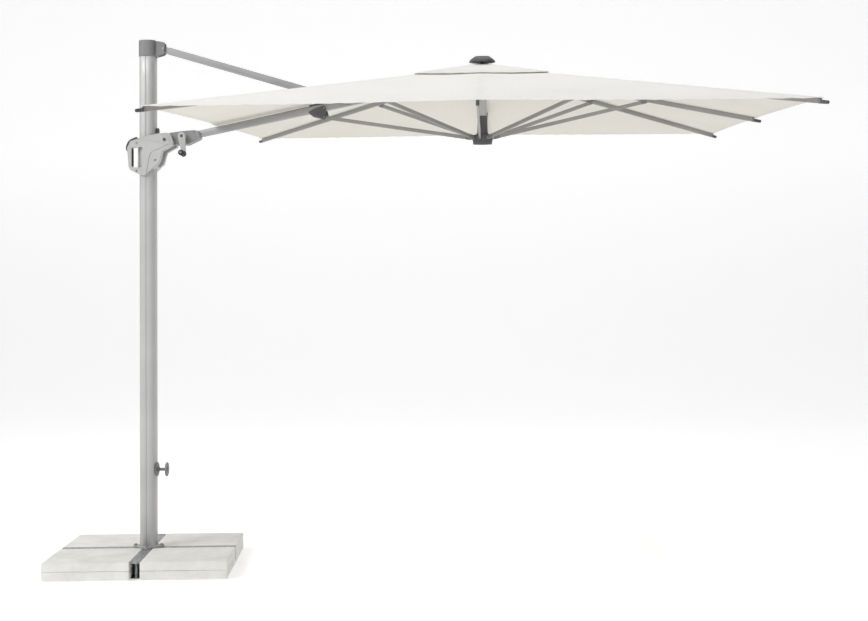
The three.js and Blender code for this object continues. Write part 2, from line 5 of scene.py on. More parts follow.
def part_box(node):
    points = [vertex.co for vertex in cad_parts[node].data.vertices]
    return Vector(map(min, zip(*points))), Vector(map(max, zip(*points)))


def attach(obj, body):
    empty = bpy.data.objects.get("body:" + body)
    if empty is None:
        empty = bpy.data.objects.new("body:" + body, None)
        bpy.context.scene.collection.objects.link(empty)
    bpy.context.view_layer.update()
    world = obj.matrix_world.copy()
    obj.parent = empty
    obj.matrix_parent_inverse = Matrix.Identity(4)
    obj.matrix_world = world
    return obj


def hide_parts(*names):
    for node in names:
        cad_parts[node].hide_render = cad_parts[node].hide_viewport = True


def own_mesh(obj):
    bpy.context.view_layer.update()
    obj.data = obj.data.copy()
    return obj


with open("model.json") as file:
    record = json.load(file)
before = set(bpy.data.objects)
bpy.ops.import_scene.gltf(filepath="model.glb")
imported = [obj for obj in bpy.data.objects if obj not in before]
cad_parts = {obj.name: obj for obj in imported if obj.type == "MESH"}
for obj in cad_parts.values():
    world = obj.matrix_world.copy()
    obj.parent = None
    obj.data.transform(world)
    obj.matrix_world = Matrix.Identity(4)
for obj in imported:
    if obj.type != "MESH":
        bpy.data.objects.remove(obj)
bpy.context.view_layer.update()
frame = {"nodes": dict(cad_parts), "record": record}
REC = frame["record"]
JOINT = {j["name"]: j for j in REC["behaviour"]["joints"]}
NODES = frame["nodes"]

# ------------------------------------------------------------------ camera and room
cam_d = bpy.data.cameras.new("camera")
cam = bpy.data.objects.new("camera", cam_d)
bpy.context.scene.collection.objects.link(cam)
bpy.context.scene.camera = cam
cam_d.sensor_width = 36.0
cam_d.lens = 1326.9 / 868 * 36.0
cam_d.clip_end = 200
yaw, pit, rol = (math.radians(v) for v in (2.94, 0.64, 0.21))
fw = Vector((-math.sin(yaw) * math.cos(pit), math.cos(yaw) * math.cos(pit), math.sin(pit)))
rt = Vector((math.cos(yaw), math.sin(yaw), 0)); up = rt.cross(fw)
X = rt * math.cos(rol) - up * math.sin(rol); Y = rt * math.sin(rol) + up * math.cos(rol)
M = Matrix((X, Y, -fw)).transposed().to_4x4()
M.translation = Vector((1.946, -7.223, 1.309))
cam.matrix_world = M

scene = bpy.context.scene
scene.view_settings.view_transform = "Standard"
scene.view_settings.look = "None"

world = bpy.data.worlds.new("studio"); scene.world = world; world.use_nodes = True
nt = world.node_tree; nt.nodes.clear()
out = nt.nodes.new("ShaderNodeOutputWorld"); bg = nt.nodes.new("ShaderNodeBackground")
tc = nt.nodes.new("ShaderNodeTexCoord"); sep = nt.nodes.new("ShaderNodeSeparateXYZ"); ramp = nt.nodes.new("ShaderNodeValToRGB")
mr = nt.nodes.new("ShaderNodeMapRange"); mr.inputs["From Min"].default_value = -1; mr.inputs["From Max"].default_value = 1
nt.links.new(tc.outputs["Generated"], sep.inputs[0]); nt.links.new(sep.outputs["X"], mr.inputs["Value"]); nt.links.new(mr.outputs[0], ramp.inputs[0])
ramp.color_ramp.elements[0].color = (1, 1, 1, 1); ramp.color_ramp.elements[1].color = (0.21, 0.21, 0.22, 1)
ramp.color_ramp.elements[0].position = 0.25; ramp.color_ramp.elements[1].position = 0.8
nt.links.new(ramp.outputs[0], bg.inputs["Color"]); bg.inputs["Strength"].default_value = 0.56
nt.links.new(bg.outputs[0], out.inputs[0])


def light(name, loc, to, size, power, col=(1, 1, 1)):
    d = bpy.data.lights.new(name, "AREA"); d.shape = "RECTANGLE"; d.size, d.size_y = size; d.energy = power; d.color = col
    o = bpy.data.objects.new(name, d); scene.collection.objects.link(o)
    o.location = loc; o.rotation_euler = (Vector(to) - Vector(loc)).to_track_quat("-Z", "Y").to_euler()
    return o


light("key", (-4.5, -6.0, 6.5), (1.0, 0, 1.6), (5, 4), 400)
light("top", (2.2, 0.5, 8.5), (1.8, 0, 2.4), (6, 6), 210)
light("fill", (7.5, -6.0, 3.0), (1.2, 0, 1.3), (5, 4), 28)


def mesh_obj(name, verts, faces, smooth=True, mats=()):
    me = bpy.data.meshes.new(name); me.from_pydata([tuple(v) for v in verts], [], faces); me.validate(); me.update()
    if smooth:
        me.polygons.foreach_set("use_smooth", [True] * len(me.polygons))
    o = bpy.data.objects.new(name, me); scene.collection.objects.link(o)
    for m in mats:
        me.materials.append(m)
    return o


# ------------------------------------------------------------------ materials
def mat_base(name, col, rough, metal=0.0, spec=0.5):
    m = bpy.data.materials.new(name); m.use_nodes = True
    n = m.node_tree; b = n.nodes["Principled BSDF"]
    b.inputs["Base Color"].default_value = (*col, 1); b.inputs["Roughness"].default_value = rough; b.inputs["Metallic"].default_value = metal
    b.inputs["Specular IOR Level"].default_value = spec
    return m, n, b


def node(n, kind, **kw):
    x = n.nodes.new(kind)
    for k, v in kw.items():
        if k in x.inputs:
            x.inputs[k].default_value = v
        else:
            setattr(x, k, v)
    return x


def coord(n, scale, space="Object"):
    t = node(n, "ShaderNodeTexCoord"); mp = node(n, "ShaderNodeMapping"); mp.inputs["Scale"].default_value = scale
    n.links.new(t.outputs[space], mp.inputs["Vector"])
    return mp.outputs[0]


def srgb(r, g, b):
    f = lambda c: ((c / 255 + 0.055) / 1.055) ** 2.4 if c > 10.3 else c / 255 / 12.92
    return (f(r), f(g), f(b))


def colour_mix(n, b, fac_socket, c1, c2, lo=0.35, hi=0.65):
    r = node(n, "ShaderNodeValToRGB"); r.color_ramp.elements[0].position = lo; r.color_ramp.elements[1].position = hi
    r.color_ramp.elements[0].color = (*c1, 1); r.color_ramp.elements[1].color = (*c2, 1)
    n.links.new(fac_socket, r.inputs[0]); n.links.new(r.outputs[0], b.inputs["Base Color"])
    return r


def rough_range(n, b, socket, lo, hi):
    m = node(n, "ShaderNodeMapRange"); m.inputs["To Min"].default_value = lo; m.inputs["To Max"].default_value = hi
    n.links.new(socket, m.inputs["Value"]); n.links.new(m.outputs[0], b.inputs["Roughness"])


def bump(n, b, socket, strength, dist):
    x = node(n, "ShaderNodeBump"); x.inputs["Strength"].default_value = strength; x.inputs["Distance"].default_value = dist
    n.links.new(socket, x.inputs["Height"])
    prev = b.inputs["Normal"].links
    if prev:
        n.links.new(prev[0].from_socket, x.inputs["Normal"])
    n.links.new(x.outputs[0], b.inputs["Normal"])
    return x


def anodised(name, col, rough, scale, metal=0.75, dirt=0.86):
    """drawn and anodised aluminium: fine draw lines along the section, faint clouding"""
    m, n, b = mat_base(name, col, rough, metal)
    line = node(n, "ShaderNodeTexNoise", Scale=1.0, Detail=3.0); n.links.new(coord(n, scale), line.inputs["Vector"])
    cloud = node(n, "ShaderNodeTexNoise", Scale=3.0, Detail=4.0); n.links.new(coord(n, (1, 1, 1)), cloud.inputs["Vector"])
    mix = node(n, "ShaderNodeMath", operation="MULTIPLY"); n.links.new(line.outputs[0], mix.inputs[0]); n.links.new(cloud.outputs[0], mix.inputs[1])
    colour_mix(n, b, cloud.outputs[0], tuple(c * dirt for c in col), col, 0.3, 0.62)
    rough_range(n, b, line.outputs[0], rough - 0.08, rough + 0.12)
    bump(n, b, line.outputs[0], 0.16, 0.0006)
    b.inputs["Anisotropic"].default_value = 0.35
    return m


def powder(name, col, rough=0.5, metal=0.15, grain=900, wear=0.12):
    """textured powder coat on a casting, rubbed a little paler on its edges"""
    m, n, b = mat_base(name, col, rough, metal)
    g = node(n, "ShaderNodeTexNoise", Scale=grain, Detail=2.0); n.links.new(coord(n, (1, 1, 1)), g.inputs["Vector"])
    c = node(n, "ShaderNodeTexNoise", Scale=9.0, Detail=5.0); n.links.new(coord(n, (1, 1, 1)), c.inputs["Vector"])
    geo = node(n, "ShaderNodeNewGeometry"); pr = node(n, "ShaderNodeMapRange"); pr.inputs["From Min"].default_value = 0.5; pr.inputs["From Max"].default_value = 0.62
    n.links.new(geo.outputs["Pointiness"], pr.inputs["Value"])
    ramp = node(n, "ShaderNodeValToRGB"); ramp.color_ramp.elements[0].color = (*[x * 0.9 for x in col], 1); ramp.color_ramp.elements[1].color = (*[min(1, x * 1.06) for x in col], 1)
    ramp.color_ramp.elements[0].position = 0.3; ramp.color_ramp.elements[1].position = 0.7
    n.links.new(c.outputs[0], ramp.inputs[0])
    mx = node(n, "ShaderNodeMix", data_type="RGBA"); sc = node(n, "ShaderNodeMath", operation="MULTIPLY"); sc.inputs[1].default_value = wear * 3
    n.links.new(pr.outputs[0], sc.inputs[0]); n.links.new(sc.outputs[0], mx.inputs["Factor"]); n.links.new(ramp.outputs[0], mx.inputs["A"])
    mx.inputs["B"].default_value = (*[min(1, x * 1.25 + 0.03) for x in col], 1)
    n.links.new(mx.outputs["Result"], b.inputs["Base Color"])
    rough_range(n, b, g.outputs[0], rough - 0.06, rough + 0.1)
    bump(n, b, g.outputs[0], 0.25, 0.0004)
    return m


def moulded(name, col, rough=0.55, grain=600, strength=0.22):
    m, n, b = mat_base(name, col, rough, 0.0, 0.4)
    g = node(n, "ShaderNodeTexVoronoi", Scale=grain); n.links.new(coord(n, (1, 1, 1)), g.inputs["Vector"])
    c = node(n, "ShaderNodeTexNoise", Scale=14.0, Detail=4.0); n.links.new(coord(n, (1, 1, 1)), c.inputs["Vector"])
    colour_mix(n, b, c.outputs[0], tuple(x * 0.82 for x in col), tuple(min(1, x * 1.18) for x in col), 0.3, 0.7)
    rough_range(n, b, c.outputs[0], rough - 0.08, rough + 0.1)
    bump(n, b, g.outputs["Distance"], strength, 0.0004)
    return m


def concrete(name):
    col = srgb(236, 235, 231)
    m, n, b = mat_base(name, col, 0.93, 0.0, 0.2)
    v = coord(n, (1, 1, 1))
    c = node(n, "ShaderNodeTexNoise", Scale=7.0, Detail=8.0, Roughness=0.65); n.links.new(v, c.inputs["Vector"])
    s = node(n, "ShaderNodeTexNoise", Scale=160.0, Detail=3.0); n.links.new(v, s.inputs["Vector"])
    p = node(n, "ShaderNodeTexVoronoi", Scale=75.0); n.links.new(v, p.inputs["Vector"])
    colour_mix(n, b, c.outputs[0], tuple(x * 0.86 for x in col), col, 0.32, 0.62)
    bump(n, b, s.outputs[0], 0.5, 0.0012)
    pit = node(n, "ShaderNodeMapRange"); pit.inputs["From Min"].default_value = 0.03; pit.inputs["From Max"].default_value = 0.14
    n.links.new(p.outputs["Distance"], pit.inputs["Value"])
    bump(n, b, pit.outputs[0], 0.35, 0.0016)
    return m


def speckled(name):
    """hot-dip galvanised steel with a spangle"""
    col = srgb(150, 152, 152)
    m, n, b = mat_base(name, col, 0.5, 0.55)
    v = coord(n, (1, 1, 1))
    s = node(n, "ShaderNodeTexVoronoi", Scale=120.0); n.links.new(v, s.inputs["Vector"])
    c = node(n, "ShaderNodeTexNoise", Scale=30.0, Detail=6.0); n.links.new(v, c.inputs["Vector"])
    sepc = node(n, "ShaderNodeSeparateColor"); n.links.new(s.outputs["Color"], sepc.inputs[0])
    colour_mix(n, b, sepc.outputs[0], tuple(x * 0.6 for x in col), tuple(min(1, x * 1.35) for x in col), 0.1, 0.9)
    rough_range(n, b, c.outputs[0], 0.35, 0.65)
    bump(n, b, c.outputs[0], 0.2, 0.0006)
    return m


def cloth(name, col, back=None, through=0.42):
    """plain-weave polyester: warp and weft from the UV map in metres, stitch rows at seams and hem from a second map"""
    m, n, b = mat_base(name, col, 0.82, 0.0, 0.25)
    b.inputs["Sheen Weight"].default_value = 0.25; b.inputs["Sheen Roughness"].default_value = 0.5
    uv = node(n, "ShaderNodeUVMap", uv_map="weave")
    mp = node(n, "ShaderNodeMapping"); mp.inputs["Scale"].default_value = (900, 900, 1); n.links.new(uv.outputs[0], mp.inputs[0])
    w1 = node(n, "ShaderNodeTexWave", Scale=1.0, Distortion=0.6, Detail=1.0); w1.bands_direction = "X"; n.links.new(mp.outputs[0], w1.inputs["Vector"])
    w2 = node(n, "ShaderNodeTexWave", Scale=1.0, Distortion=0.6, Detail=1.0); w2.bands_direction = "Y"; n.links.new(mp.outputs[0], w2.inputs["Vector"])
    wv = node(n, "ShaderNodeMath", operation="MULTIPLY"); n.links.new(w1.outputs["Fac"], wv.inputs[0]); n.links.new(w2.outputs["Fac"], wv.inputs[1])
    slub = node(n, "ShaderNodeTexNoise", Scale=1.0, Detail=3.0); mp2 = node(n, "ShaderNodeMapping"); mp2.inputs["Scale"].default_value = (6, 160, 1)
    n.links.new(uv.outputs[0], mp2.inputs[0]); n.links.new(mp2.outputs[0], slub.inputs["Vector"])
    cloud = node(n, "ShaderNodeTexNoise", Scale=2.2, Detail=5.0); n.links.new(coord(n, (1, 1, 1)), cloud.inputs["Vector"])
    add = node(n, "ShaderNodeMath", operation="ADD"); n.links.new(slub.outputs[0], add.inputs[0]); n.links.new(cloud.outputs[0], add.inputs[1])
    half = node(n, "ShaderNodeMath", operation="MULTIPLY"); half.inputs[1].default_value = 0.5; n.links.new(add.outputs[0], half.inputs[0])
    ramp = colour_mix(n, b, half.outputs[0], tuple(x * 0.94 for x in col), col, 0.34, 0.62)
    # stitches: the second and third maps hold (distance from the row, distance along it) for the seam and for the hem
    st = node(n, "ShaderNodeUVMap", uv_map="stitch"); ss = node(n, "ShaderNodeSeparateXYZ"); n.links.new(st.outputs[0], ss.inputs[0])
    ab = node(n, "ShaderNodeMath", operation="ABSOLUTE"); n.links.new(ss.outputs["X"], ab.inputs[0])
    near = node(n, "ShaderNodeMath", operation="LESS_THAN"); near.inputs[1].default_value = 0.0011; n.links.new(ab.outputs[0], near.inputs[0])
    fr = node(n, "ShaderNodeMath", operation="PINGPONG"); fr.inputs[1].default_value = 0.0035; n.links.new(ss.outputs["Y"], fr.inputs[0])
    dash = node(n, "ShaderNodeMath", operation="GREATER_THAN"); dash.inputs[1].default_value = 0.0011; n.links.new(fr.outputs[0], dash.inputs[0])
    seam = node(n, "ShaderNodeMath", operation="MULTIPLY"); n.links.new(near.outputs[0], seam.inputs[0]); n.links.new(dash.outputs[0], seam.inputs[1])
    hm = node(n, "ShaderNodeUVMap", uv_map="hem"); hs = node(n, "ShaderNodeSeparateXYZ"); n.links.new(hm.outputs[0], hs.inputs[0])
    ha = node(n, "ShaderNodeMath", operation="ABSOLUTE"); n.links.new(hs.outputs["X"], ha.inputs[0])
    hn = node(n, "ShaderNodeMath", operation="LESS_THAN"); hn.inputs[1].default_value = 0.0010; n.links.new(ha.outputs[0], hn.inputs[0])
    hf = node(n, "ShaderNodeMath", operation="PINGPONG"); hf.inputs[1].default_value = 0.0035; n.links.new(hs.outputs["Y"], hf.inputs[0])
    hd = node(n, "ShaderNodeMath", operation="GREATER_THAN"); hd.inputs[1].default_value = 0.0011; n.links.new(hf.outputs[0], hd.inputs[0])
    hem = node(n, "ShaderNodeMath", operation="MULTIPLY"); n.links.new(hn.outputs[0], hem.inputs[0]); n.links.new(hd.outputs[0], hem.inputs[1])
    stm = node(n, "ShaderNodeMath", operation="MAXIMUM"); n.links.new(seam.outputs[0], stm.inputs[0]); n.links.new(hem.outputs[0], stm.inputs[1])
    mx = node(n, "ShaderNodeMix", data_type="RGBA"); n.links.new(stm.outputs[0], mx.inputs["Factor"]); n.links.new(ramp.outputs[0], mx.inputs["A"])
    mx.inputs["B"].default_value = (*[x * 0.72 for x in col], 1)
    n.links.new(mx.outputs["Result"], b.inputs["Base Color"])
    bump(n, b, wv.outputs[0], 0.22, 0.0003)
    bump(n, b, stm.outputs[0], 0.5, 0.0008)
    tr = node(n, "ShaderNodeBsdfTranslucent"); n.links.new(mx.outputs["Result"], tr.inputs["Color"])
    ms = node(n, "ShaderNodeMixShader"); ms.inputs[0].default_value = through
    o = n.nodes["Material Output"]
    n.links.new(b.outputs[0], ms.inputs[1]); n.links.new(tr.outputs[0], ms.inputs[2]); n.links.new(ms.outputs[0], o.inputs[0])
    return m


MAT = {
    "anodised_mast": anodised("anodised_mast", srgb(196, 196, 195), 0.46, (700, 700, 3), 0.45),
    "anodised_arm": anodised("anodised_arm", srgb(166, 166, 167), 0.45, (6, 700, 120), 0.4),
    "cast_grey": powder("cast_grey", srgb(178, 178, 176), 0.48, 0.2),
    "mid_grey": powder("mid_grey", srgb(128, 128, 129), 0.5, 0.2),
    "moulded_dark": moulded("moulded_dark", srgb(84, 84, 86), 0.5),
    "grip_black": moulded("grip_black", srgb(46, 46, 48), 0.7, 420, 0.4),
    "steel": anodised("steel", srgb(158, 158, 158), 0.3, (300, 300, 300), 0.9),
    "galvanised": speckled("galvanised"),
    "slab": concrete("slab"),
    "cloth": cloth("cloth", srgb(249, 248, 245), through=0.22),
    "stay_grey": anodised("stay_grey", srgb(160, 160, 158), 0.45, (40, 40, 40), 0.45),
}
# underside of the gores: the same fabric as the top, given a darker, warmer colour as painted shade
MAT["cloth_shaded_underside"] = cloth("cloth_shaded_underside", srgb(233, 230, 222), through=0.30)
MAT["housing_grey"] = powder("housing_grey", srgb(140, 140, 140), 0.45, 0.3)
MAT["slot_edge"] = bpy.data.materials.new("slot_edge"); MAT["slot_edge"].use_nodes = True
_n = MAT["slot_edge"].node_tree; _n.nodes.remove(_n.nodes["Principled BSDF"])
_n.links.new(_n.nodes.new("ShaderNodeBsdfTransparent").outputs[0], _n.nodes["Material Output"].inputs[0])
MAT["panel_grey"] = powder("panel_grey", srgb(182, 182, 180), 0.55, 0.15)
MAT["floor"], _n, _b = mat_base("floor", (0.9, 0.9, 0.9), 0.9, 0, 0.1)
_b.inputs["Emission Color"].default_value = (1, 1, 1, 1); _b.inputs["Emission Strength"].default_value = 0.36

# ------------------------------------------------------------------ floor: a plain pale sweep
vs, fs = [], []
prof = [(-30, 0)] + [(9 + 4 * math.sin(t * math.pi / 32), 4 - 4 * math.cos(t * math.pi / 32)) for t in range(17)] + [(13, 30)]
for x in (-40, 44):
    for y, z in prof:
        vs.append((x, y, z - 0.0005))
k = len(prof)
for i in range(k - 1):
    fs.append((i, i + 1, k + i + 1, k + i))
floor = mesh_obj("floor_sweep", vs, [tuple(reversed(f)) for f in fs], True, [MAT["floor"]])


# ------------------------------------------------------------------ CAD nodes that stay: eased edges and real finishes
def polish(name, width=0.0012, seg=3, material=None, angle=32, dissolve=True):
    o = NODES[name]
    me = o.data
    for a in ("custom_normal", "sharp_edge", "sharp_face"):
        if a in me.attributes:
            me.attributes.remove(me.attributes[a])
    me.polygons.foreach_set("use_smooth", [True] * len(me.polygons))
    w = o.modifiers.new("weld", "WELD"); w.merge_threshold = 1e-5
    if dissolve:
        d = o.modifiers.new("flatten", "DECIMATE"); d.decimate_type = "DISSOLVE"; d.angle_limit = math.radians(1.2)
    if width:
        b = o.modifiers.new("ease", "BEVEL"); b.width = width; b.segments = seg; b.limit_method = "ANGLE"; b.angle_limit = math.radians(angle)
        b.harden_normals = True; b.use_clamp_overlap = True; b.miter_outer = "MITER_ARC"
    slotname = [s["material_slot"] for s in REC["subparts"] if s["node"] == name][0]
    m = material or MAT[slotname]
    me.materials.clear(); me.materials.append(m)
    return o


WIDTH = {"mast_head": 0.003, "slider_shell_near": 0.0035, "slider_shell_far": 0.0035, "crank_housing": 0.0025, "foot_flange": 0.0015, "crank_arm": 0.0014,
         "head_yoke": 0.0012, "crown_hub": 0.0009, "runner_hub": 0.0009, "vent_cap": 0.0012, "mast_stop": 0.0012, "arm_tube": 0.0012, "top_strut": 0.0009,
         "strut_fork": 0.0009, "centre_pole": 0.0008, "knob_plate": 0.0015, "lock_knob": 0.0015, "base_cross": 0.0012, "rib_bracket": 0.0012, "arm_keeper": 0.0016}
REPLACED = {"canopy", "vent_flap", "mast_tube", "vent_cap"} | {f"slab_{i}" for i in range(1, 9)}
for nm in NODES:
    if nm in REPLACED:
        continue
    w = WIDTH.get(nm, 0.0008 if not nm.startswith(("rib_", "stay_")) else 0.0007)
    polish(nm, w, 3 if w > 0.001 else 2, MAT["housing_grey"] if nm == "crank_housing" else None)


# ------------------------------------------------------------------ helpers for built pieces
def ring_solid(name, rings, material, closed_ends=True, smooth=True):
    """skin between equal rings of points, capped"""
    n = len(rings[0]); vs = [p for r in rings for p in r]; fs = []
    for j in range(len(rings) - 1):
        for i in range(n):
            a, b2 = j * n + i, j * n + (i + 1) % n
            fs.append((a, b2, b2 + n, a + n))
    if closed_ends:
        fs.append(tuple(reversed(range(n)))); fs.append(tuple(range((len(rings) - 1) * n, len(rings) * n)))
    return mesh_obj(name, vs, fs, smooth, [material])


def lathe_piece(name, prof, origin, axis, material, n=40, lobes=0, depth=0.0):
    """profile of (radius, height) turned about axis through origin"""
    ax = Vector(axis).normalized(); q = ax.to_track_quat("Z", "Y").to_matrix()
    rings = []
    for r, h in prof:
        ring = []
        for i in range(n):
            a = 2 * math.pi * i / n
            rr = r * (1 + (depth * math.cos(lobes * a) if lobes else 0))
            ring.append(Vector(origin) + q @ Vector((rr * math.cos(a), rr * math.sin(a), h)))
        rings.append(ring)
    o = ring_solid(name, rings, material)
    mod = o.modifiers.new("edge", "EDGE_SPLIT"); mod.split_angle = math.radians(50)
    return o


def button_screw(name, origin, axis, body, r=0.005, h=0.0028, socket=True, material=None):
    """domed head with a sunk round socket"""
    s = r * 0.45
    prof = [(r * 0.98, -0.0006), (r, 0.0), (r, h * 0.25), (r * 0.9, h * 0.6), (r * 0.7, h * 0.88), (s * 1.15, h), (s, h * 0.95), (s * 0.96, h * 0.25), (s * 0.4, h * 0.2), (0.00002, h * 0.2)]
    o = lathe_piece(name, prof, origin, axis, material or MAT["steel"], 24)
    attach(o, body)
    return o


# ------------------------------------------------------------------ mast extrusion
def mast_section(h=0.0455, n=3.0, count=96, g=0.0020, d=0.0022):
    """bulged square with a slot down each Y face; the slot's lips are eased"""
    e = lambda v: math.copysign(abs(v) ** (2 / n), v)
    o = []
    for i in range(count):
        a = 2 * math.pi * i / count
        x, y = h * e(math.cos(a)), h * e(math.sin(a))
        if abs(abs(math.sin(a)) - 1) < 1e-9:
            s = math.copysign(1, y)
            for gx, gy in ((g + 0.0009, 0.0), (g + 0.0003, 0.0003), (g, 0.0010), (g, d), (-g, d), (-g, 0.0010), (-g - 0.0003, 0.0003), (-g - 0.0009, 0.0)):
                o.append((s * gx, s * (h - gy)))
        else:
            o.append((x, y))
    return o


lo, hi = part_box("mast_tube")
sec = mast_section()
zs = [lo.z] + [lo.z + (hi.z - lo.z) * i / 24 for i in range(1, 24)] + [hi.z]
rings = [[(x * (0.985 if j in (0, len(zs) - 1) else 1), y * (0.985 if j in (0, len(zs) - 1) else 1), z) for x, y in sec] for j, z in enumerate(zs)]
zs2 = [lo.z + 0.0008, hi.z - 0.0008]
mast = ring_solid("mast_extrusion", [rings[0], [(x, y, lo.z + 0.0009) for x, y in sec]] + rings[1:-1] + [[(x, y, hi.z - 0.0009) for x, y in sec], rings[-1]], MAT["anodised_mast"])
es = mast.modifiers.new("edge", "EDGE_SPLIT"); es.split_angle = math.radians(38)
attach(mast, "mast"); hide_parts("mast_tube")

# ------------------------------------------------------------------ paving slabs: cast edges, slight unevenness
BT = math.radians(6.04)
Rb = Matrix.Rotation(BT, 3, "Z")
c0, side = 0.027 + 0.224, 0.448
k = 0
for sx, sy in ((-1, -1), (1, -1), (1, 1), (-1, 1)):
    for z0 in (0.0036, 0.0496):
        k += 1
        bm = bmesh.new()
        bmesh.ops.create_cube(bm, size=1)
        bmesh.ops.scale(bm, vec=(side - 0.0006, side - 0.0006, 0.0454), verts=bm.verts)
        bmesh.ops.bevel(bm, geom=list(bm.edges), offset=0.0042, segments=2, profile=0.55, affect="EDGES")
        bmesh.ops.subdivide_edges(bm, edges=[e for e in bm.edges if e.calc_length() > 0.2], cuts=26, use_grid_fill=True)
        for v in bm.verts:
            p = v.co * 1.0 + Vector((k * 3.7, k * 1.3, 0))
            d = noise.noise(p * 14) * 0.00045 + noise.noise(p * 60) * 0.00022
            edge = max(abs(v.co.x), abs(v.co.y)) > side / 2 - 0.006
            if edge:
                d -= max(0, noise.noise(p * 33) - 0.25) * 0.004
            v.co += Vector((math.copysign(d, v.co.x) if abs(v.co.x) > side / 2 - 0.006 else 0, math.copysign(d, v.co.y) if abs(v.co.y) > side / 2 - 0.006 else 0,
                            math.copysign(min(d, 0.0001), v.co.z) if abs(v.co.z) > 0.0215 else 0))
            q = Rb @ Vector((v.co.x + sx * c0, v.co.y + sy * c0, 0))
            v.co = Vector((q.x, q.y, v.co.z + z0 + 0.0228))
        me = bpy.data.meshes.new(f"paving_{k}"); bm.to_mesh(me); bm.free()
        o = bpy.data.objects.new(f"paving_{k}", me); scene.collection.objects.link(o); me.materials.append(MAT["slab"])
        me.polygons.foreach_set("use_smooth", [True] * len(me.polygons))
        e = o.modifiers.new("edge", "EDGE_SPLIT"); e.split_angle = math.radians(46)
        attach(o, "base"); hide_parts(f"slab_{k}")

# ------------------------------------------------------------------ leaning head frame
LEAN = math.radians(5.25); XC, HZ = 1.843, 2.662


def LW(x, y, z):
    dz = z - HZ
    return Vector((XC + x, y * math.cos(LEAN) - dz * math.sin(LEAN), HZ + y * math.sin(LEAN) + dz * math.cos(LEAN)))


def LV(v):
    x, y, z = v
    return Vector((x, y * math.cos(LEAN) - z * math.sin(LEAN), y * math.sin(LEAN) + z * math.cos(LEAN)))


RIBZ, UP, R0, KS = 2.688, 0.0153, 0.062, (2.688 - 2.408) / (1.5 - 0.062)
HEM, VENT, FLAP = 1.486, 0.262, 0.350
SIDE = 0.41421356


def skin_point(m, v, flap=False):
    """head-frame point for distance m towards the nearer hem and share v from mid rib (0) to corner rib (1), in that mid rib's frame"""
    if flap:
        u = (m - 0.022) / (FLAP - 0.022)
        bow = 1 - 0.01 * math.sin(math.pi * v) * u
        z = 2.7361 - 0.232 * m - 0.0015 * math.sin(math.pi * v) * u * u - 0.0015 * u ** 6
        z += 0.0006 * math.sin(v * 22 + 1) * u ** 3
        return m * bow, m * v * bow, z
    u = (m - VENT) / (HEM - VENT)
    bow = 1 - 0.012 * math.sin(math.pi * v) * u
    z = RIBZ + UP - KS * (m - R0) - 0.010 * v * m / HEM
    # the cloth hangs a little slack between ribs and pulls straight over them
    z -= 0.006 * math.sin(math.pi * v) ** 1.3 * (0.25 + 0.75 * math.sin(math.pi * min(1, 0.12 + u * 0.8)))
    # faint tension folds running in from the corners and along the hem
    near_hem = max(0.0, (u - 0.8) / 0.2) ** 2
    z += 0.0016 * math.sin(v * m * 62 + 0.7) * near_hem * math.sin(math.pi * v)
    fan = math.exp(-((1 - v) / 0.16) ** 2) * max(0, (u - 0.45) / 0.55) ** 1.5
    z += 0.0022 * math.sin((1 - v) * 95) * fan * min(1, (1 - v) / 0.03)
    return m * bow, m * v * bow, z


